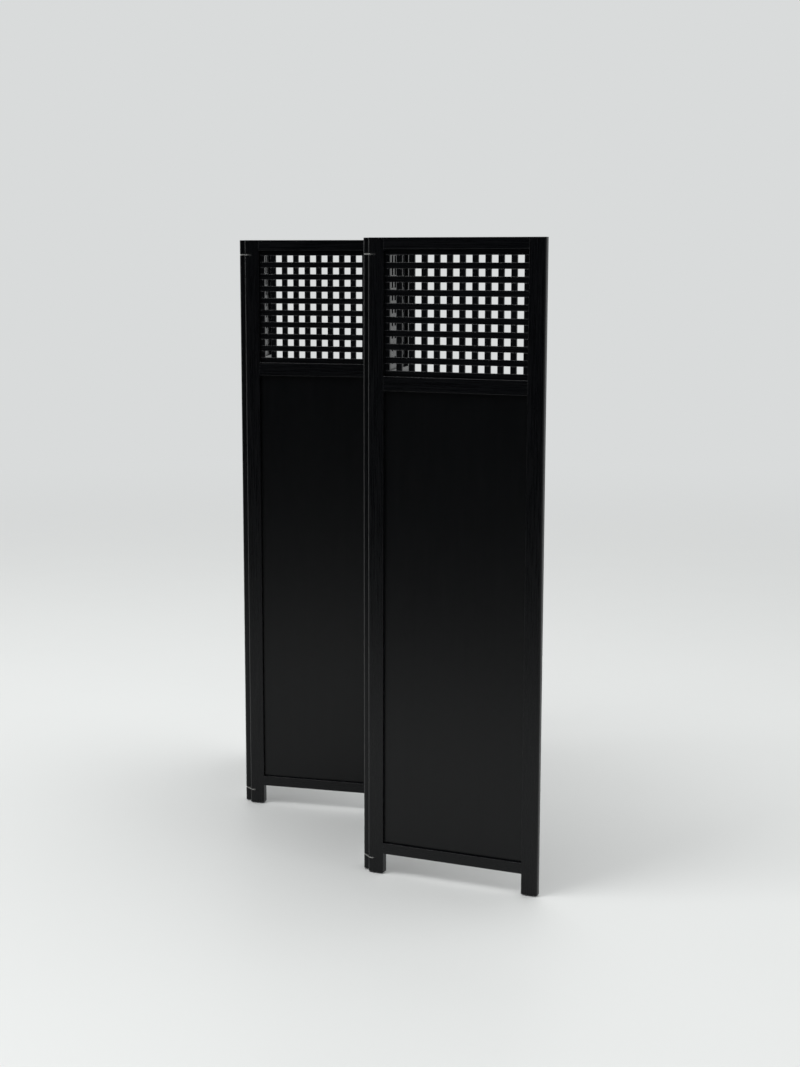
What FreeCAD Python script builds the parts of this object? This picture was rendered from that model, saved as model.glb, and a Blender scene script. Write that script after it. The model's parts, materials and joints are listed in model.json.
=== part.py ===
import FreeCAD
import Part
import Sketcher
import math
import os

from FreeCAD import Placement, Rotation, Vector

# A folding screen of four framed panels. Each panel is drawn in its own frame: X across the panel
# from its left edge, Y from the front face to the back face, Z up from the floor.

DIMENSIONS = [
    # Lattice field: square holes between flat strips
    ("lattice_columns", 11),
    ("lattice_rows", 9),
    ("hole_size", 18),
    ("bar_width", 15),
    ("border_width", 14),
    ("lattice_thickness", 6),
    # Panel frame
    ("panel_height", 1620),
    ("panel_thickness", 22),
    ("stile_width", 42),
    ("top_rail_height", 28),
    ("middle_rail_height", 36),
    ("bottom_rail_height", 28),
    ("foot_height", 55),
    ("edge_radius", 6),
    ("arris_radius", 0.8),
    # Joinery
    ("board_thickness", 6),
    ("groove_depth", 8),
    ("edge_play", 1),
    ("tenon_length", 24),
    ("tenon_thickness", 8),
    ("tenon_shoulder", 6),
    ("mortise_relief", 1),
    # Link hinges
    ("pin_radius", 2.5),
    ("pin_length", 60),
    ("pin_recess", 1),
    ("pin_inset", 9),
    ("bore_clearance", 0.03),
    ("swivel_clearance", 0.05),
    ("link_end_radius", 10.5),
    ("link_thickness", 3),
    ("link_drop", 40),
    ("link_rise", 40),
    ("kerf_clearance", 0.2),
    ("kerf_end_clearance", 1),
    ("corner_gap", 1),
    # Foot glides
    ("glide_radius", 8.5),
    ("glide_thickness", 3),
    ("nail_radius", 1.2),
    ("nail_length", 16),
    # How the screen stands
    ("first_heading", -36),
    ("first_fold", 80.6),
    ("second_fold", -88.3),
    ("third_fold", 79.5),
]

FOLDS = ["first_fold", "second_fold", "third_fold"]
PANELS = len(FOLDS) + 1

doc = FreeCAD.newDocument("folding_screen")
sheet = doc.addObject("Spreadsheet::Sheet", "dims")
for row, (alias, number) in enumerate(DIMENSIONS, start=1):
    sheet.set(f"A{row}", alias)
    sheet.set(f"B{row}", str(number))
    sheet.setAlias(f"B{row}", alias)
doc.recompute()

# Sizes worked out from the sheet, as expressions
PITCH = "(dims.hole_size + dims.bar_width)"
FIELD_WIDTH = f"(dims.lattice_columns * {PITCH} - dims.bar_width)"
FIELD_HEIGHT = f"(dims.lattice_rows * {PITCH} - dims.bar_width)"
OPENING_WIDTH = f"({FIELD_WIDTH} + 2 * dims.border_width)"
OPENING_HEIGHT = f"({FIELD_HEIGHT} + 2 * dims.border_width)"
PANEL_WIDTH = f"({OPENING_WIDTH} + 2 * dims.stile_width)"

# Levels above the floor
BOTTOM_RAIL_BASE = "dims.foot_height"
BOARD_SILL = f"({BOTTOM_RAIL_BASE} + dims.bottom_rail_height)"
TOP_RAIL_BASE = "(dims.panel_height - dims.top_rail_height)"
LATTICE_SILL = f"({TOP_RAIL_BASE} - {OPENING_HEIGHT})"
MIDDLE_RAIL_BASE = f"({LATTICE_SILL} - dims.middle_rail_height)"

# How far a board or strip reaches into its groove
HOUSING = "(dims.groove_depth - dims.edge_play)"
STRIP_WIDTH = f"(dims.border_width + {HOUSING})"

# The farthest point of a stile's rounded corner from the hinge pin, which sets the link's length
CORNER_SWING = (
    "(sqrt(pow(dims.pin_inset - dims.edge_radius; 2)"
    " + pow(dims.panel_thickness / 2 - dims.edge_radius; 2)) + dims.edge_radius)"
)
PIN_SPACING = f"(2 * {CORNER_SWING} + dims.corner_gap)"
KERF_HEIGHT = "(dims.link_thickness + 2 * dims.kerf_clearance)"
KERF_DEPTH = "(dims.pin_inset + dims.link_end_radius + dims.kerf_end_clearance)"
UPPER_LINK_LEVEL = "(dims.panel_height - dims.link_drop)"
LOWER_LINK_LEVEL = "dims.link_rise"

# Each rail's underside and its height
RAILS = {
    "top": (TOP_RAIL_BASE, "dims.top_rail_height"),
    "middle": (MIDDLE_RAIL_BASE, "dims.middle_rail_height"),
    "bottom": (BOTTOM_RAIL_BASE, "dims.bottom_rail_height"),
}
# The grooves in each rail: the lower edge's level and the width
RAIL_GROOVES = {
    "top": [(TOP_RAIL_BASE, "dims.lattice_thickness")],
    "middle": [
        (f"({LATTICE_SILL} - dims.groove_depth)", "dims.lattice_thickness"),
        (MIDDLE_RAIL_BASE, "dims.board_thickness"),
    ],
    "bottom": [(f"({BOARD_SILL} - dims.groove_depth)", "dims.board_thickness")],
}
# The tenon of each rail, clear of its grooves: the lower edge's level and the height
TENONS = {
    "top": (
        f"({TOP_RAIL_BASE} + dims.groove_depth)",
        "(dims.top_rail_height - dims.groove_depth - dims.tenon_shoulder)",
    ),
    "middle": (
        f"({MIDDLE_RAIL_BASE} + dims.groove_depth)",
        "(dims.middle_rail_height - 2 * dims.groove_depth)",
    ),
    "bottom": (
        f"({BOTTOM_RAIL_BASE} + dims.tenon_shoulder)",
        "(dims.bottom_rail_height - dims.groove_depth - dims.tenon_shoulder)",
    ),
}


def value(expression):
    """The number that an expression on the sheet gives."""
    return float(sheet.evalExpression(expression))


def middle(thickness):
    """Where a piece of this thickness starts when it is centred between the panel's faces."""
    return f"((dims.panel_thickness - {thickness}) / 2)"


def from_side(side, start, width="0"):
    """The X at which a stretch begins that lies start in from the panel's left or right edge."""
    return start if side == "left" else f"({PANEL_WIDTH} - {start} - {width})"


def new_body(name):
    body = doc.addObject("PartDesign::Body", name)
    body.Label = name
    return body


def origin_feature(body, role):
    return next(part for part in body.Origin.OriginFeatures if part.Role == role)


def new_sketch(body, name, plane, offset):
    """A sketch parallel to one of the body's planes, offset along that plane's normal."""
    sketch = body.newObject("Sketcher::SketchObject", name)
    sketch.AttachmentSupport = (origin_feature(body, plane), [""])
    sketch.MapMode = "FlatFace"
    sketch.setExpression("AttachmentOffset.Base.z", offset)
    return sketch


def add_constraint(sketch, expression, *arguments):
    """A dimension of the sketch, bound to the sheet."""
    index = sketch.addConstraint(Sketcher.Constraint(*arguments, value(expression)))
    sketch.setExpression(f"Constraints[{index}]", expression)


def add_rectangle(sketch, left, bottom, width, height):
    x, y = value(left), value(bottom)
    far_x, far_y = x + value(width), y + value(height)
    corners = [Vector(x, y), Vector(far_x, y), Vector(far_x, far_y), Vector(x, far_y)]
    first = sketch.GeometryCount
    for start, end in zip(corners, corners[1:] + corners[:1]):
        sketch.addGeometry(Part.LineSegment(start, end), False)
    for side in range(4):
        following = first + (side + 1) % 4
        direction = "Vertical" if side % 2 else "Horizontal"
        sketch.addConstraint(Sketcher.Constraint("Coincident", first + side, 2, following, 1))
        sketch.addConstraint(Sketcher.Constraint(direction, first + side))
    add_constraint(sketch, left, "DistanceX", -1, 1, first, 1)
    add_constraint(sketch, bottom, "DistanceY", -1, 1, first, 1)
    add_constraint(sketch, width, "DistanceX", first, 1, first, 2)
    add_constraint(sketch, height, "DistanceY", first + 1, 1, first + 1, 2)


def add_circle(sketch, x, y, radius):
    centre = Vector(value(x), value(y))
    circle = sketch.addGeometry(Part.Circle(centre, Vector(0, 0, 1), value(radius)), False)
    add_constraint(sketch, x, "DistanceX", -1, 1, circle, 3)
    add_constraint(sketch, y, "DistanceY", -1, 1, circle, 3)
    add_constraint(sketch, radius, "Radius", circle)


def pad(body, sketch, length, reverse=False):
    feature = body.newObject("PartDesign::Pad", f"{sketch.Name}_pad")
    feature.Profile = sketch
    feature.Reversed = reverse
    feature.setExpression("Length", length)
    return feature


def pocket(body, sketch, length, reverse=False):
    feature = body.newObject("PartDesign::Pocket", f"{sketch.Name}_pocket")
    feature.Profile = sketch
    feature.Reversed = reverse
    feature.setExpression("Length", length)
    return feature


def round_edges(body, base, name, radius, chosen):
    """A fillet on the base feature's edges that pass the test."""
    doc.recompute()
    edges = [
        f"Edge{index}"
        for index, edge in enumerate(base.Shape.Edges, start=1)
        if chosen(edge.BoundBox)
    ]
    feature = body.newObject("PartDesign::Fillet", name)
    feature.Base = (base, edges)
    feature.setExpression("Radius", radius)
    return feature


def repeat(body, name, axis, count, spacing, original=None):
    """A row of copies of one feature, or of the whole body where no feature is named."""
    if original is None:
        doc.recompute()
    pattern = body.newObject("PartDesign::LinearPattern", name)
    if original is None:
        pattern.TransformMode = "Whole shape"
    else:
        pattern.Originals = [original]
    pattern.Direction = (origin_feature(body, axis), [""])
    pattern.Mode = "Spacing"
    pattern.setExpression("Offset", spacing)
    pattern.setExpression("Occurrences", count)
    body.Tip = pattern
    return pattern


def is_upright(box):
    return box.ZLength > max(box.XLength, box.YLength)


def make_stile(name, side, hinged):
    """An upright with its outer edges rounded, grooved and mortised on its inner face."""
    body = new_body(name)
    section = new_sketch(body, f"{name}_section", "XY_Plane", "dims.glide_thickness")
    edge = from_side(side, "0", "dims.stile_width")
    add_rectangle(section, edge, "0", "dims.stile_width", "dims.panel_thickness")
    blank = pad(body, section, "dims.panel_height - dims.glide_thickness")

    outer = value(from_side(side, "0"))
    rounded = round_edges(
        body, blank, f"{name}_rounding", "dims.edge_radius",
        lambda box: is_upright(box) and abs(box.XMin - outer) < 0.01,
    )
    inner = value(from_side(side, "dims.stile_width"))
    round_edges(
        body, rounded, f"{name}_arris", "dims.arris_radius",
        lambda box: not is_upright(box) or abs(box.XMin - inner) < 0.01,
    )

    # Grooves and mortises are sunk into the inner face
    facing = side == "right"
    inner_face = from_side(side, "dims.stile_width")
    for field, sill, head, thickness in [
        ("board", BOARD_SILL, MIDDLE_RAIL_BASE, "dims.board_thickness"),
        ("lattice", LATTICE_SILL, TOP_RAIL_BASE, "dims.lattice_thickness"),
    ]:
        groove = new_sketch(body, f"{name}_{field}_groove", "YZ_Plane", inner_face)
        add_rectangle(
            groove, middle(thickness), f"{sill} - dims.groove_depth",
            thickness, f"{head} - {sill} + 2 * dims.groove_depth",
        )
        pocket(body, groove, "dims.groove_depth", facing)

    mortises = new_sketch(body, f"{name}_mortises", "YZ_Plane", inner_face)
    for base, height in TENONS.values():
        add_rectangle(mortises, middle("dims.tenon_thickness"), base, "dims.tenon_thickness", height)
    pocket(body, mortises, "dims.tenon_length + dims.mortise_relief", facing)

    if hinged:
        cut_hinge_seats(body, name, side)

    nail_hole = new_sketch(body, f"{name}_nail_hole", "XY_Plane", "dims.glide_thickness")
    add_circle(nail_hole, from_side(side, "dims.stile_width / 2"), "dims.panel_thickness / 2",
               "dims.nail_radius + dims.bore_clearance")
    pocket(body, nail_hole, "dims.nail_length", True)
    return body


def cut_hinge_seats(body, name, side):
    """A saw kerf near each end of the stile for a link plate, and the pin bores through them."""
    for level_name, level in [("upper", UPPER_LINK_LEVEL), ("lower", LOWER_LINK_LEVEL)]:
        kerf = new_sketch(body, f"{name}_{level_name}_kerf", "XY_Plane", f"{level} - {KERF_HEIGHT} / 2")
        add_rectangle(kerf, from_side(side, "0", KERF_DEPTH), "0", KERF_DEPTH, "dims.panel_thickness")
        pocket(body, kerf, KERF_HEIGHT, True)
    for end_name, level, upwards in [
        ("top", "dims.panel_height", False),
        ("foot", "dims.glide_thickness", True),
    ]:
        bore = new_sketch(body, f"{name}_{end_name}_bore", "XY_Plane", level)
        add_circle(bore, from_side(side, "dims.pin_inset"), "dims.panel_thickness / 2",
                   "dims.pin_radius + dims.bore_clearance")
        pocket(body, bore, "dims.pin_recess + dims.pin_length", upwards)


def make_rail(name, place):
    """A crosspiece between the stiles, with a tenon at each end and grooves along it."""
    body = new_body(name)
    base, height = RAILS[place]
    section = new_sketch(body, f"{name}_section", "YZ_Plane", "dims.stile_width")
    add_rectangle(section, "0", base, "dims.panel_thickness", height)
    blank = pad(body, section, OPENING_WIDTH)
    round_edges(
        body, blank, f"{name}_arris", "dims.arris_radius",
        lambda box: box.XLength > max(box.YLength, box.ZLength),
    )

    tenon_base, tenon_height = TENONS[place]
    tenons = new_sketch(body, f"{name}_tenons", "YZ_Plane", "dims.stile_width - dims.tenon_length")
    add_rectangle(tenons, middle("dims.tenon_thickness"), tenon_base, "dims.tenon_thickness", tenon_height)
    pad(body, tenons, f"{OPENING_WIDTH} + 2 * dims.tenon_length")

    for index, (level, thickness) in enumerate(RAIL_GROOVES[place]):
        groove = new_sketch(body, f"{name}_groove_{index}", "YZ_Plane", "dims.stile_width")
        add_rectangle(groove, middle(thickness), level, thickness, "dims.groove_depth")
        pocket(body, groove, OPENING_WIDTH, True)
    return body


def make_board(name):
    """The solid infill, held loose in its grooves."""
    body = new_body(name)
    section = new_sketch(body, f"{name}_section", "XY_Plane", f"{BOARD_SILL} - {HOUSING}")
    add_rectangle(
        section, f"dims.stile_width - {HOUSING}", middle("dims.board_thickness"),
        f"{OPENING_WIDTH} + 2 * {HOUSING}", "dims.board_thickness",
    )
    pad(body, section, f"{MIDDLE_RAIL_BASE} - {BOARD_SILL} + 2 * {HOUSING}")
    return body


# Stretches of the lattice along X and along Z: where the first strip of each kind starts, how wide
# it is, how many there are and how far apart
LATTICE_LEFT = f"(dims.stile_width - {HOUSING})"
LATTICE_BASE = f"({LATTICE_SILL} - {HOUSING})"
LATTICE_WIDTH = f"({OPENING_WIDTH} + 2 * {HOUSING})"
LATTICE_HEIGHT = f"({OPENING_HEIGHT} + 2 * {HOUSING})"
COLUMN_STRIPS = {
    "bars": (
        "(dims.stile_width + dims.border_width + dims.hole_size)", "dims.bar_width",
        "dims.lattice_columns - 1", PITCH,
    ),
    "borders": (LATTICE_LEFT, STRIP_WIDTH, "2", f"{LATTICE_WIDTH} - {STRIP_WIDTH}"),
}
ROW_STRIPS = {
    "bars": (
        f"({LATTICE_SILL} + dims.border_width + dims.hole_size)", "dims.bar_width",
        "dims.lattice_rows - 1", PITCH,
    ),
    "borders": (LATTICE_BASE, STRIP_WIDTH, "2", f"{LATTICE_HEIGHT} - {STRIP_WIDTH}"),
}


def make_lattice_strips(name, upright, kind):
    """A set of equal strips, notched to half their thickness wherever they cross the other set."""
    body = new_body(name)
    start, width, count, spacing = (COLUMN_STRIPS if upright else ROW_STRIPS)[kind]
    crossings = ROW_STRIPS if upright else COLUMN_STRIPS
    front = middle("dims.lattice_thickness")
    strip = new_sketch(body, f"{name}_strip", "XZ_Plane", f"-{front}")
    if upright:
        add_rectangle(strip, start, LATTICE_BASE, width, LATTICE_HEIGHT)
    else:
        add_rectangle(strip, LATTICE_LEFT, start, LATTICE_WIDTH, width)
    pad(body, strip, "dims.lattice_thickness", True)

    # Uprights are notched from the front and crossbars from the back
    notched_face = front if upright else f"({front} + dims.lattice_thickness)"
    for crossing, (notch_start, notch_width, notch_count, notch_spacing) in crossings.items():
        notch = new_sketch(body, f"{name}_{crossing}_notch", "XZ_Plane", f"-{notched_face}")
        if upright:
            add_rectangle(notch, start, notch_start, width, notch_width)
        else:
            add_rectangle(notch, notch_start, start, notch_width, width)
        cut = pocket(body, notch, "dims.lattice_thickness / 2", not upright)
        axis = "Z_Axis" if upright else "X_Axis"
        repeat(body, f"{name}_{crossing}_notches", axis, notch_count, notch_spacing, cut)
    repeat(body, f"{name}_row", "X_Axis" if upright else "Z_Axis", count, spacing)
    return body


def make_hinge_pins(name, hinged_sides):
    """Upright pins in the ends of the hinged stiles."""
    body = new_body(name)
    lower_end = "(dims.glide_thickness + dims.pin_recess)"
    sketch = new_sketch(body, f"{name}_section", "XY_Plane", lower_end)
    for side in hinged_sides:
        add_circle(sketch, from_side(side, "dims.pin_inset"), "dims.panel_thickness / 2", "dims.pin_radius")
    lower = pad(body, sketch, "dims.pin_length")
    rise = f"dims.panel_height - dims.pin_recess - dims.pin_length - {lower_end}"
    repeat(body, f"{name}_upper", "Z_Axis", "2", rise, lower)
    return body


def make_foot_glides(name):
    """A disc under each stile with a nail standing up into the wood."""
    body = new_body(name)
    for piece, base, radius, length in [
        ("disc", "0", "dims.glide_radius", "dims.glide_thickness"),
        ("nail", "dims.glide_thickness", "dims.nail_radius", "dims.nail_length"),
    ]:
        sketch = new_sketch(body, f"{name}_{piece}", "XY_Plane", base)
        add_circle(sketch, "dims.stile_width / 2", "dims.panel_thickness / 2", radius)
        pad(body, sketch, length)
    repeat(body, f"{name}_pair", "X_Axis", "2", f"{PANEL_WIDTH} - dims.stile_width")
    return body


def make_link_plate(name, level):
    """A flat plate with round ends and a hole for a pin in each, along X from the first pin."""
    body = new_body(name)
    outline = new_sketch(body, f"{name}_outline", "XY_Plane", f"{level} - dims.link_thickness / 2")
    spacing, radius = value(PIN_SPACING), value("dims.link_end_radius")
    upwards = Vector(0, 0, 1)
    near, far = Vector(0, 0), Vector(spacing, 0)
    near_arc = Part.ArcOfCircle(Part.Circle(near, upwards, radius), math.pi / 2, 3 * math.pi / 2)
    far_arc = Part.ArcOfCircle(Part.Circle(far, upwards, radius), -math.pi / 2, math.pi / 2)
    lower_line = Part.LineSegment(Vector(0, -radius), Vector(spacing, -radius))
    upper_line = Part.LineSegment(Vector(spacing, radius), Vector(0, radius))
    loop = [outline.addGeometry(edge, False) for edge in (near_arc, lower_line, far_arc, upper_line)]
    for edge, following in zip(loop, loop[1:] + loop[:1]):
        outline.addConstraint(Sketcher.Constraint("Tangent", edge, 2, following, 1))
    outline.addConstraint(Sketcher.Constraint("Coincident", loop[0], 3, -1, 1))
    outline.addConstraint(Sketcher.Constraint("PointOnObject", loop[2], 3, -1))
    outline.addConstraint(Sketcher.Constraint("Equal", loop[0], loop[2]))
    add_constraint(outline, "dims.link_end_radius", "Radius", loop[0])
    add_constraint(outline, PIN_SPACING, "DistanceX", loop[0], 3, loop[2], 3)
    for x in ["0", PIN_SPACING]:
        add_circle(outline, x, "0", "dims.pin_radius + dims.swivel_clearance")
    pad(body, outline, "dims.link_thickness")
    return body


def turned(angle):
    return Placement(Vector(), Rotation(Vector(0, 0, 1), angle))


def moved(x, y):
    return Placement(Vector(x, y, 0), Rotation())


def standing_frames():
    """The frames of the panels and of the links between them, each link halving its fold."""
    inset, half_thickness = value("dims.pin_inset"), value("dims.panel_thickness / 2")
    to_far_pin = moved(value(PANEL_WIDTH) - inset, half_thickness)
    from_near_pin = moved(-inset, -half_thickness)
    along_link = moved(value(PIN_SPACING), 0)
    panels, links = [turned(value("dims.first_heading"))], []
    for fold in FOLDS:
        half_fold = turned(value(f"dims.{fold}") / 2)
        link = panels[-1] * to_far_pin * half_fold
        links.append(link)
        panels.append(link * along_link * half_fold * from_near_pin)

    # The origin lies under the middle of the box around the rounded corners of all panels
    radius = value("dims.edge_radius")
    corners = [
        panel.multVec(Vector(x, y, 0))
        for panel in panels
        for x in (radius, value(PANEL_WIDTH) - radius)
        for y in (radius, 2 * half_thickness - radius)
    ]
    middle_x = (min(corner.x for corner in corners) + max(corner.x for corner in corners)) / 2
    middle_y = (min(corner.y for corner in corners) + max(corner.y for corner in corners)) / 2
    to_origin = moved(-middle_x, -middle_y)
    return [to_origin * panel for panel in panels], [to_origin * link for link in links]


def make_panel(number):
    """All the pieces of one panel. A stile is hinged where another panel follows it."""
    name = f"panel_{number}"
    hinged_sides = []
    if number > 1:
        hinged_sides.append("left")
    if number < PANELS:
        hinged_sides.append("right")
    pieces = [make_stile(f"{name}_{side}_stile", side, side in hinged_sides) for side in ("left", "right")]
    pieces += [make_rail(f"{name}_{place}_rail", place) for place in RAILS]
    pieces += [
        make_board(f"{name}_board"),
        make_lattice_strips(f"{name}_lattice_side_strips", True, "borders"),
        make_lattice_strips(f"{name}_lattice_end_strips", False, "borders"),
        make_lattice_strips(f"{name}_lattice_uprights", True, "bars"),
        make_lattice_strips(f"{name}_lattice_crossbars", False, "bars"),
        make_hinge_pins(f"{name}_hinge_pins", hinged_sides),
        make_foot_glides(f"{name}_foot_glides"),
    ]
    return pieces


def make_hinge(number):
    return [
        make_link_plate(f"hinge_{number}_upper_link", UPPER_LINK_LEVEL),
        make_link_plate(f"hinge_{number}_lower_link", LOWER_LINK_LEVEL),
    ]


panel_frames, link_frames = standing_frames()
pieces = []
for number, frame in enumerate(panel_frames, start=1):
    for piece in make_panel(number):
        piece.Placement = frame
        pieces.append(piece)
for number, frame in enumerate(link_frames, start=1):
    for piece in make_hinge(number):
        piece.Placement = frame
        pieces.append(piece)
doc.recompute()

for item in doc.Objects:
    if "Invalid" in item.State or "Error" in item.State:
        raise RuntimeError(f"{item.Label} failed: {item.State}")
for piece in pieces:
    if piece.Shape.isNull() or not piece.Shape.isValid() or not piece.Shape.Solids:
        raise RuntimeError(f"{piece.Label} has no valid shape")

os.makedirs("parts", exist_ok=True)
for piece in pieces:
    piece.Shape.exportStep(os.path.join("parts", f"{piece.Label}.step"))
print(f"{len(pieces)} pieces, {sum(len(piece.Shape.Solids) for piece in pieces)} solids")
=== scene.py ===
import bmesh
import bpy
import json
import math
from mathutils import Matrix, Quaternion, Vector

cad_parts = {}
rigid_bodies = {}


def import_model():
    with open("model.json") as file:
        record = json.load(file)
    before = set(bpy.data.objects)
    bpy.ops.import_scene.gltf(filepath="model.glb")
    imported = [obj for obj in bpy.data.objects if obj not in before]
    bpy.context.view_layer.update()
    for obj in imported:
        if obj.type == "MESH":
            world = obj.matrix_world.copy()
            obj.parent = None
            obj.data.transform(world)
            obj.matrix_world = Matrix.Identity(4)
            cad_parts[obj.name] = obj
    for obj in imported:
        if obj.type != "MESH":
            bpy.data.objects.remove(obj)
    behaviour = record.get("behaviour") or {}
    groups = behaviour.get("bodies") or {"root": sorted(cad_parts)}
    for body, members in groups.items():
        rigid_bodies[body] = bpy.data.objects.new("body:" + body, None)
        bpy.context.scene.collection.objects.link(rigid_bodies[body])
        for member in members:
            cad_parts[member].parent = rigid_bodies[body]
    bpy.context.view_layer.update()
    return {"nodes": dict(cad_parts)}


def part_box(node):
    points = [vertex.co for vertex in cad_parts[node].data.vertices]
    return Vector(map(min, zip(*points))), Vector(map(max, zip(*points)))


for startObject in list(bpy.data.objects):
    bpy.data.objects.remove(startObject)

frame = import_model()
print("frame loaded:", len(frame["nodes"]), "nodes")


def linear(hexColour):
    # sRGB hex to the linear colour that a shader socket takes
    parts = [int(hexColour[i:i + 2], 16) / 255 for i in (1, 3, 5)]
    return [c / 12.92 if c <= 0.04045 else ((c + 0.055) / 1.055) ** 2.4 for c in parts] + [1]


def addNode(tree, kind, settings={}, inputs={}):
    node = tree.nodes.new(kind)
    for name, setting in settings.items():
        setattr(node, name, setting)
    for name, source in inputs.items():
        if isinstance(source, bpy.types.NodeSocket):
            tree.links.new(source, node.inputs[name])
        else:
            node.inputs[name].default_value = source
    return node


def startMaterial(name):
    material = bpy.data.materials.new(name)
    material.use_nodes = True
    material.node_tree.nodes.clear()
    return material, material.node_tree


def finishMaterial(tree, shader):
    addNode(tree, "ShaderNodeOutputMaterial", {}, {"Surface": shader.outputs[0]})


# Ash stained black through its pores and sealed with a satin lacquer: almost no colour of its own,
# the grain shows as a change of gloss and as shallow open pores, and the arrises are drawn lighter,
# partly as wear and partly as a painted highlight
stainedAsh = {
    "stain": "#040507",
    "figure": "#090a0d",
    # lighter colour along the arrises: partly rubbed wear, partly a painted highlight
    "arrisWearAndHighlight": "#34363a",
    "roughness": (0.24, 0.35),
    "film": 0.27,            # a thin film reflects less than a full coat of lacquer
    "arrisMm": 2.0,
    "figureMm": (14, 420),   # across and along the grain
    "grainMm": (2.2, 90),
    "poreMm": (1.3, 16),     # real pores are 0.3 mm across, too fine to show
    "poreDepthMm": 0.10,
}

# The infill board is a sliced ash veneer under the same stain: straighter, closer grain and a more
# even gloss, so that from across a room it looks plain
stainedVeneer = {
    "stain": "#040507",
    "figure": "#08090b",
    # lighter colour along the arrises: partly rubbed wear, partly a painted highlight
    "arrisWearAndHighlight": "#26282b",
    "roughness": (0.275, 0.33),
    "film": 0.27,
    "arrisMm": 0.5,
    "figureMm": (26, 900),
    "grainMm": (1.8, 140),
    "poreMm": (1.1, 12),
    "poreDepthMm": 0.09,
}

# How the noise is read in both woods, and how far the arrises are lightened, partly as wear and
# partly as a painted highlight
woodPattern = {
    "figureSpan": (0.12, 0.42),   # from plain stain to full figure
    "grainSpan": (0.35, 0.65),    # from smooth to dull
    "poreSpan": (0.56, 0.70),     # from closed to open
    "poreStrength": 0.5,
    "arrisTurn": (0.98, 0.80),    # cosine of the turn where the lighter arris colour, wear and painted highlight, starts and where it is full
    "arrisWearAndHighlightAmount": 0.7,
    "arrisSamples": 6,
}


def woodGrain(tree, place, alongGrain, sizeMm, detail):
    # one layer of the grain: a noise drawn out along it, sizes in mm across and along
    across, along = (1000 / size for size in sizeMm)
    scale = [along if axis == alongGrain else across for axis in range(3)]
    squeezed = addNode(tree, "ShaderNodeMapping", {}, {"Vector": place, "Scale": scale})
    return addNode(tree, "ShaderNodeTexNoise", {}, {
        "Vector": squeezed.outputs[0], "Scale": 1, "Detail": detail, "Roughness": 0.6,
    }).outputs["Fac"]


def makeStainedWood(name, finish, pattern, heading, alongGrain):
    # heading turns the pattern into the panel's own axes: X across it and Z up it
    material, tree = startMaterial(name)
    place = addNode(tree, "ShaderNodeTexCoord").outputs["Object"]
    turned = addNode(tree, "ShaderNodeMapping", {}, {"Vector": place, "Rotation": (0, 0, -heading)})
    place = turned.outputs[0]
    figure = woodGrain(tree, place, alongGrain, finish["figureMm"], detail=3)
    grain = woodGrain(tree, place, alongGrain, finish["grainMm"], detail=2)
    pores = woodGrain(tree, place, alongGrain, finish["poreMm"], detail=1)

    tone = addNode(tree, "ShaderNodeMath", {"operation": "MULTIPLY"}, {0: figure, 1: grain})
    plain, figured = pattern["figureSpan"]
    stain = addNode(tree, "ShaderNodeMapRange", {}, {
        "Value": tone.outputs[0], "From Min": plain, "From Max": figured,
    })
    wood = addNode(tree, "ShaderNodeMix", {"data_type": "RGBA"}, {
        0: stain.outputs[0], 6: linear(finish["stain"]), 7: linear(finish["figure"]),
    })

    # the stain is drawn lighter where the rounded normal leaves the flat one, along each arris:
    # partly rubbed wear, partly a painted highlight
    rounded = addNode(tree, "ShaderNodeBevel", {"samples": pattern["arrisSamples"]}, {
        "Radius": finish["arrisMm"] / 1000,
    })
    flat = addNode(tree, "ShaderNodeNewGeometry").outputs["Normal"]
    turning = addNode(tree, "ShaderNodeVectorMath", {"operation": "DOT_PRODUCT"}, {
        0: rounded.outputs[0], 1: flat,
    })
    started, full = pattern["arrisTurn"]
    arrisWearAndHighlightMask = addNode(tree, "ShaderNodeMapRange", {}, {
        "Value": turning.outputs["Value"], "From Min": started, "From Max": full,
        "To Max": pattern["arrisWearAndHighlightAmount"],
    })
    # mix in the lighter arris colour: wear and a painted highlight
    colour = addNode(tree, "ShaderNodeMix", {"data_type": "RGBA"}, {
        0: arrisWearAndHighlightMask.outputs[0], 6: wood.outputs[2], 7: linear(finish["arrisWearAndHighlight"]),
    })

    low, high = pattern["grainSpan"]
    smooth, dull = finish["roughness"]
    gloss = addNode(tree, "ShaderNodeMapRange", {}, {
        "Value": grain, "From Min": low, "From Max": high, "To Min": smooth, "To Max": dull,
    })
    closed, opened = pattern["poreSpan"]
    surface = addNode(tree, "ShaderNodeMapRange", {}, {
        "Value": pores, "From Min": closed, "From Max": opened, "To Min": 1, "To Max": 0,
    })
    relief = addNode(tree, "ShaderNodeBump", {}, {
        "Height": surface.outputs[0], "Normal": rounded.outputs[0],
        "Strength": pattern["poreStrength"], "Distance": finish["poreDepthMm"] / 1000,
    })
    shader = addNode(tree, "ShaderNodeBsdfPrincipled", {}, {
        "Base Color": colour.outputs[2], "Roughness": gloss.outputs[0],
        "Specular IOR Level": finish["film"], "Normal": relief.outputs[0],
    })
    finishMaterial(tree, shader)
    return material


# Cold-rolled steel strip, blanked and tumbled: dull grey with a fine rolled grain, and brighter
# scuffs where the kerf rubs it
rolledSteel = {
    "steel": "#8f8f8d",
    "scuff": "#b4b4b0",
    "roughness": (0.34, 0.5),
    "grainMm": 0.9,          # a rolled grain is nearer 0.1 mm, too fine to show
    "grainSpan": (0.3, 0.7),
    "scuffMm": 7,
    "scuffSpan": (0.45, 0.62),
    "reliefMm": 0.03,
    "reliefStrength": 0.3,
}

# Drawn steel rod for the pins, ground smooth: brighter and tighter in its highlights than the strip
drawnSteel = {
    "steel": "#a2a2a0",
    "scuff": "#b8b8b5",
    "roughness": (0.22, 0.34),
    "grainMm": 0.6,          # drawn coarse for the same reason
    "grainSpan": (0.3, 0.7),
    "scuffMm": 5,
    "scuffSpan": (0.45, 0.62),
    "reliefMm": 0.03,
    "reliefStrength": 0.3,
}


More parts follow.
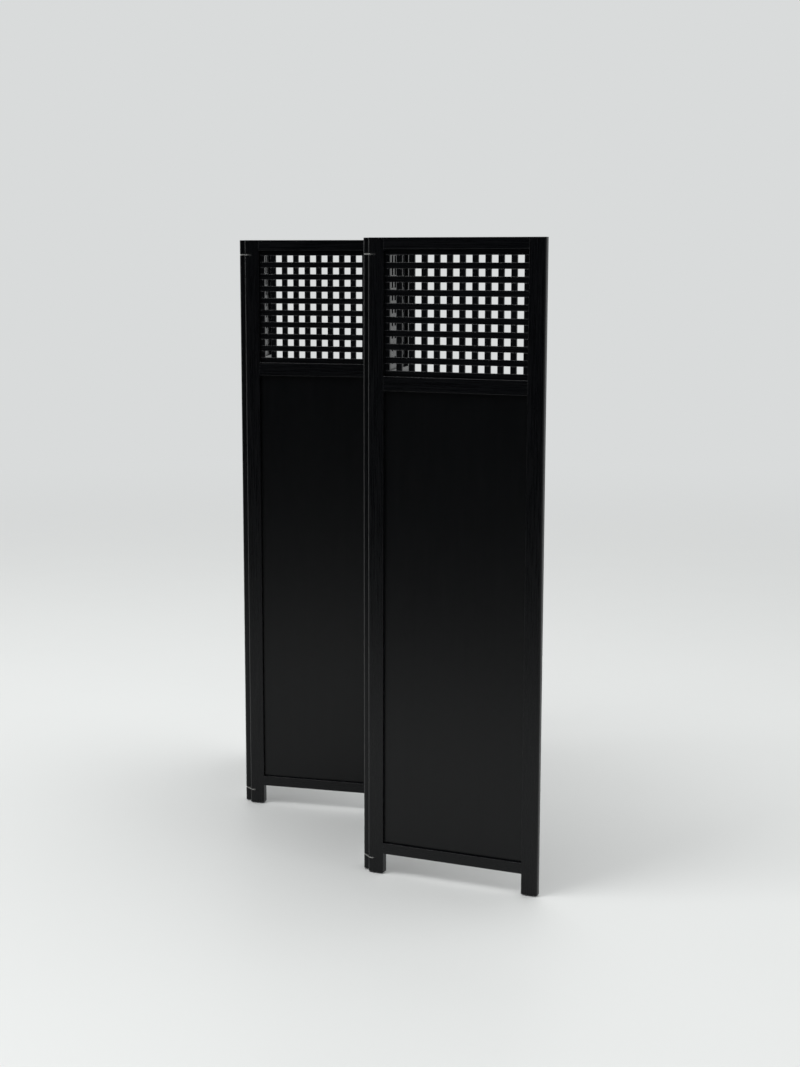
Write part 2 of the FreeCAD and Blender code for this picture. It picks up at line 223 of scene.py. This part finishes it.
def makeSteel(name, finish):
    material, tree = startMaterial(name)
    place = addNode(tree, "ShaderNodeTexCoord").outputs["Object"]
    grain = addNode(tree, "ShaderNodeTexNoise", {}, {
        "Vector": place, "Scale": 1000 / finish["grainMm"], "Detail": 2,
    })
    scuffs = addNode(tree, "ShaderNodeTexNoise", {}, {
        "Vector": place, "Scale": 1000 / finish["scuffMm"], "Detail": 4,
    })
    bare, worn = finish["scuffSpan"]
    scuffed = addNode(tree, "ShaderNodeMapRange", {}, {
        "Value": scuffs.outputs["Fac"], "From Min": bare, "From Max": worn,
    })
    colour = addNode(tree, "ShaderNodeMix", {"data_type": "RGBA"}, {
        0: scuffed.outputs[0], 6: linear(finish["steel"]), 7: linear(finish["scuff"]),
    })
    low, high = finish["grainSpan"]
    smooth, dull = finish["roughness"]
    gloss = addNode(tree, "ShaderNodeMapRange", {}, {
        "Value": grain.outputs["Fac"], "From Min": low, "From Max": high,
        "To Min": smooth, "To Max": dull,
    })
    relief = addNode(tree, "ShaderNodeBump", {}, {
        "Height": grain.outputs["Fac"], "Strength": finish["reliefStrength"],
        "Distance": finish["reliefMm"] / 1000,
    })
    shader = addNode(tree, "ShaderNodeBsdfPrincipled", {}, {
        "Base Color": colour.outputs[2], "Metallic": 1, "Roughness": gloss.outputs[0],
        "Normal": relief.outputs[0],
    })
    finishMaterial(tree, shader)
    return material


# Moulded black nylon: even, slightly waxy, with a fine spark texture and a dusty underside
mouldedNylon = {
    "nylon": "#161617",
    "dusty": "#2b2a29",
    "dustMm": 3,             # how far up from the floor the dust reaches
    "dustCover": 0.8,
    "roughness": (0.42, 0.62),
    "ior": 1.53,
    "sparkMm": 0.5,          # a spark texture is nearer 0.05 mm, too fine to show
    "sparkSpan": (0.3, 0.7),
    "reliefMm": 0.03,
    "reliefStrength": 0.3,
}


def makeNylon(name, finish):
    material, tree = startMaterial(name)
    place = addNode(tree, "ShaderNodeTexCoord").outputs["Object"]
    spark = addNode(tree, "ShaderNodeTexNoise", {}, {
        "Vector": place, "Scale": 1000 / finish["sparkMm"], "Detail": 1,
    })
    height = addNode(tree, "ShaderNodeSeparateXYZ", {}, {"Vector": place})
    dust = addNode(tree, "ShaderNodeMapRange", {}, {
        "Value": height.outputs["Z"], "From Min": 0, "From Max": finish["dustMm"] / 1000,
        "To Min": finish["dustCover"], "To Max": 0,
    })
    colour = addNode(tree, "ShaderNodeMix", {"data_type": "RGBA"}, {
        0: dust.outputs[0], 6: linear(finish["nylon"]), 7: linear(finish["dusty"]),
    })
    low, high = finish["sparkSpan"]
    smooth, dull = finish["roughness"]
    gloss = addNode(tree, "ShaderNodeMapRange", {}, {
        "Value": spark.outputs["Fac"], "From Min": low, "From Max": high,
        "To Min": smooth, "To Max": dull,
    })
    relief = addNode(tree, "ShaderNodeBump", {}, {
        "Height": spark.outputs["Fac"], "Strength": finish["reliefStrength"],
        "Distance": finish["reliefMm"] / 1000,
    })
    shader = addNode(tree, "ShaderNodeBsdfPrincipled", {}, {
        "Base Color": colour.outputs[2], "Roughness": gloss.outputs[0], "IOR": finish["ior"],
        "Normal": relief.outputs[0],
    })
    finishMaterial(tree, shader)
    return material


def panelHeading(panel):
    # direction from a panel's left stile to its right one, seen from above
    ends = [sum(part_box(f"{panel}_{side}_stile"), Vector()) / 2 for side in ("left", "right")]
    run = ends[1] - ends[0]
    return math.atan2(run.y, run.x)


# Which way the grain runs in each piece of a panel: up it or across it
grainUp = ("left_stile", "right_stile", "lattice_side_strips", "lattice_uprights")
grainAcross = ("top_rail", "middle_rail", "bottom_rail", "lattice_end_strips", "lattice_crossbars")


def dressPanel(panel):
    heading = panelHeading(panel)
    across, up = 0, 2
    upright = makeStainedWood(
        f"{panel}_stained_ash_upright", stainedAsh, woodPattern, heading, up,
    )
    level = makeStainedWood(
        f"{panel}_stained_ash_level", stainedAsh, woodPattern, heading, across,
    )
    veneer = makeStainedWood(f"{panel}_stained_veneer", stainedVeneer, woodPattern, heading, up)
    dressed = {f"{panel}_{piece}": upright for piece in grainUp}
    dressed |= {f"{panel}_{piece}": level for piece in grainAcross}
    dressed[f"{panel}_board"] = veneer
    return dressed


finishes = {}
for panelNumber in range(1, 5):
    finishes |= dressPanel(f"panel_{panelNumber}")
linkSteel = makeSteel("rolled_steel", rolledSteel)
pinSteel = makeSteel("drawn_steel", drawnSteel)
glideNylon = makeNylon("moulded_nylon", mouldedNylon)
for nodeName, node in frame["nodes"].items():
    if nodeName.endswith("_link"):
        finishes[nodeName] = linkSteel
    elif nodeName.endswith("_hinge_pins"):
        finishes[nodeName] = pinSteel
    elif nodeName.endswith("_foot_glides"):
        finishes[nodeName] = glideNylon
    for slot in node.material_slots:
        slot.material = finishes[nodeName]
print("finishes on:", len(finishes), "nodes")


# The photograph's camera, in the frame's metres and degrees
photoCamera = {
    "place": (4.0745, -2.3066, 1.5596),
    "heading": 149,          # the way it looks, from +X
    "pitch": -8.9,
    "roll": 0.113,
    "focalPixels": 1730.66,
    "imagePixels": 1067,     # the long side
    "sensorMm": 36,
    "clip": (0.1, 60),
}


def makeCamera(values):
    data = bpy.data.cameras.new("photo_camera")
    data.sensor_width = values["sensorMm"]
    data.lens = values["focalPixels"] / values["imagePixels"] * values["sensorMm"]
    data.clip_start, data.clip_end = values["clip"]
    camera = bpy.data.objects.new("photo_camera", data)
    bpy.context.collection.objects.link(camera)
    heading, pitch = math.radians(values["heading"]), math.radians(values["pitch"])
    looking = Vector((
        math.cos(heading) * math.cos(pitch), math.sin(heading) * math.cos(pitch), math.sin(pitch),
    ))
    roll = Quaternion((0, 0, 1), math.radians(values["roll"]))
    camera.rotation_mode = "QUATERNION"
    camera.rotation_quaternion = looking.to_track_quat("-Z", "Y") @ roll
    camera.location = values["place"]
    bpy.context.scene.camera = camera


makeCamera(photoCamera)
print("camera placed")

# A painted floor that fades into a pale surround. No flags are drawn: for everything but the camera
# the surround is dimmed on one side and the floor there is drawn black as painted shade, standing
# in for black flags, as they are used for any black lacquer
studio = {
    "floor": "#e3e5e4",
    "floorFilm": 0.25,
    "floorRoughness": (0.42, 0.58),
    "patchScale": 1.6,       # patches of gloss on the floor, per metre
    "patchSpan": (0.3, 0.7),
    "floorSize": 60,         # metres
    "surround": "#d9dbdb",
    "fade": (3.0, 9.0),      # metres out, from floor to surround
    "light": 1.0,            # the room's own light, all round
    "flagHeading": -68,      # from +X
    "paintedFloorShadeReach": (1.6, 4.2),   # metres out that way, from open floor to painted shade
    "flaggedRoom": (-0.1, 0.3),   # cosine of the turn away from it, from open to flagged
    "flagTop": (0.6, 0.85),  # sine of the height at which the ceiling shows over them
    "flagShade": 0.02,
    "aim": (0, 0, 0.8),      # where the soft boxes point: the middle of the screen
}


def addFlagShade(tree, place, values, reach):
    # 1 where the room is open, and the flags' shade behind them; no flags are drawn, so on the
    # floor this is painted shade
    heading = math.radians(values["flagHeading"])
    along = addNode(tree, "ShaderNodeVectorMath", {"operation": "DOT_PRODUCT"}, {
        0: place, 1: (math.cos(heading), math.sin(heading), 0),
    })
    near, far = reach
    flagged = addNode(tree, "ShaderNodeMapRange", {"interpolation_type": "SMOOTHSTEP"}, {
        "Value": along.outputs["Value"], "From Min": near, "From Max": far,
    })
    height = addNode(tree, "ShaderNodeSeparateXYZ", {}, {"Vector": place})
    low, high = values["flagTop"]
    below = addNode(tree, "ShaderNodeMapRange", {"interpolation_type": "SMOOTHSTEP"}, {
        "Value": height.outputs["Z"], "From Min": low, "From Max": high, "To Min": 1, "To Max": 0,
    })
    behind = addNode(tree, "ShaderNodeMath", {"operation": "MULTIPLY"}, {
        0: flagged.outputs[0], 1: below.outputs[0],
    })
    cameraRay = addNode(tree, "ShaderNodeLightPath").outputs["Is Camera Ray"]
    unseen = addNode(tree, "ShaderNodeMath", {"operation": "SUBTRACT", "use_clamp": True}, {
        0: behind.outputs[0], 1: cameraRay,
    })
    return addNode(tree, "ShaderNodeMapRange", {}, {
        "Value": unseen.outputs[0], "To Min": 1, "To Max": values["flagShade"],
    }).outputs[0]


def makeFloor(values):
    sheet = bmesh.new()
    bmesh.ops.create_grid(sheet, x_segments=1, y_segments=1, size=values["floorSize"] / 2)
    mesh = bpy.data.meshes.new("floor")
    sheet.to_mesh(mesh)
    sheet.free()
    floor = bpy.data.objects.new("floor", mesh)
    bpy.context.collection.objects.link(floor)
    material, tree = startMaterial("painted_floor")
    place = addNode(tree, "ShaderNodeTexCoord").outputs["Object"]
    patches = addNode(tree, "ShaderNodeTexNoise", {}, {
        "Vector": place, "Scale": values["patchScale"], "Detail": 3,
    })
    low, high = values["patchSpan"]
    smooth, dull = values["floorRoughness"]
    gloss = addNode(tree, "ShaderNodeMapRange", {}, {
        "Value": patches.outputs["Fac"], "From Min": low, "From Max": high,
        "To Min": smooth, "To Max": dull,
    })
    paint = addNode(tree, "ShaderNodeBsdfPrincipled", {}, {
        "Base Color": linear(values["floor"]), "Roughness": gloss.outputs[0],
        "Specular IOR Level": values["floorFilm"],
    })
    haze = addNode(tree, "ShaderNodeEmission", {}, {"Color": linear(values["surround"])})
    away = addNode(tree, "ShaderNodeVectorMath", {"operation": "LENGTH"}, {0: place})
    near, far = values["fade"]
    fade = addNode(tree, "ShaderNodeMapRange", {"interpolation_type": "SMOOTHSTEP"}, {
        "Value": away.outputs["Value"], "From Min": near, "From Max": far,
    })
    blended = addNode(tree, "ShaderNodeMixShader", {}, {
        0: fade.outputs[0], 1: paint.outputs[0], 2: haze.outputs[0],
    })
    # painted shade: out on the flagged side the floor is drawn black for every ray but the camera's
    paintedShade = addNode(tree, "ShaderNodeBsdfDiffuse", {}, {"Color": (0, 0, 0, 1)})
    shaded = addNode(tree, "ShaderNodeMixShader", {}, {
        0: addFlagShade(tree, place, values, values["paintedFloorShadeReach"]),
        1: paintedShade.outputs[0], 2: blended.outputs[0],
    })
    finishMaterial(tree, shaded)
    floor.data.materials.append(material)


def makeSurround(values):
    world = bpy.data.worlds.new("pale_surround")
    bpy.context.scene.world = world
    world.use_nodes = True
    tree = world.node_tree
    tree.nodes.clear()
    direction = addNode(tree, "ShaderNodeTexCoord").outputs["Generated"]
    shade = addFlagShade(tree, direction, values, values["flaggedRoom"])
    seen = addNode(tree, "ShaderNodeBackground", {}, {
        "Color": linear(values["surround"]), "Strength": shade,
    })
    level = addNode(tree, "ShaderNodeMath", {"operation": "MULTIPLY"}, {
        0: shade, 1: values["light"],
    })
    lighting = addNode(tree, "ShaderNodeBackground", {}, {
        "Color": (1, 1, 1, 1), "Strength": level.outputs[0],
    })
    ray = addNode(tree, "ShaderNodeLightPath").outputs
    cameraOrGlossy = addNode(tree, "ShaderNodeMath", {"operation": "ADD"}, {
        0: ray["Is Camera Ray"], 1: ray["Is Glossy Ray"],
    })
    looking = addNode(tree, "ShaderNodeMath", {"operation": "ADD", "use_clamp": True}, {
        0: cameraOrGlossy.outputs[0], 1: ray["Is Transmission Ray"],
    })
    mixed = addNode(tree, "ShaderNodeMixShader", {}, {
        0: looking.outputs[0], 1: lighting.outputs[0], 2: seen.outputs[0],
    })
    addNode(tree, "ShaderNodeOutputWorld", {}, {"Surface": mixed.outputs[0]})


# Soft boxes: a tall one to the left draws the lines on the stiles' edges, and two high ones fill
softBoxes = {
    "tall_window": {"place": (-3.6, -7.4, 3.2), "size": (1.6, 4.4), "watts": 86},
    "front_fill": {"place": (0.2, -3.4, 6.0), "size": (2.6, 2.6), "watts": 135},
    "overhead": {"place": (0.3, 0.0, 5.2), "size": (3.2, 3.2), "watts": 32},
}


def makeSoftBox(name, values, target):
    data = bpy.data.lights.new(name, "AREA")
    data.shape = "RECTANGLE"
    data.size, data.size_y = values["size"]
    data.energy = values["watts"]
    lamp = bpy.data.objects.new(name, data)
    bpy.context.collection.objects.link(lamp)
    lamp.location = values["place"]
    aim = Vector(target) - lamp.location
    lamp.rotation_mode = "QUATERNION"
    lamp.rotation_quaternion = aim.to_track_quat("-Z", "Y")


makeFloor(studio)
makeSurround(studio)
for boxName, boxValues in softBoxes.items():
    makeSoftBox(boxName, boxValues, studio["aim"])
bpy.context.scene.view_settings.view_transform = "Standard"
print("studio ready")
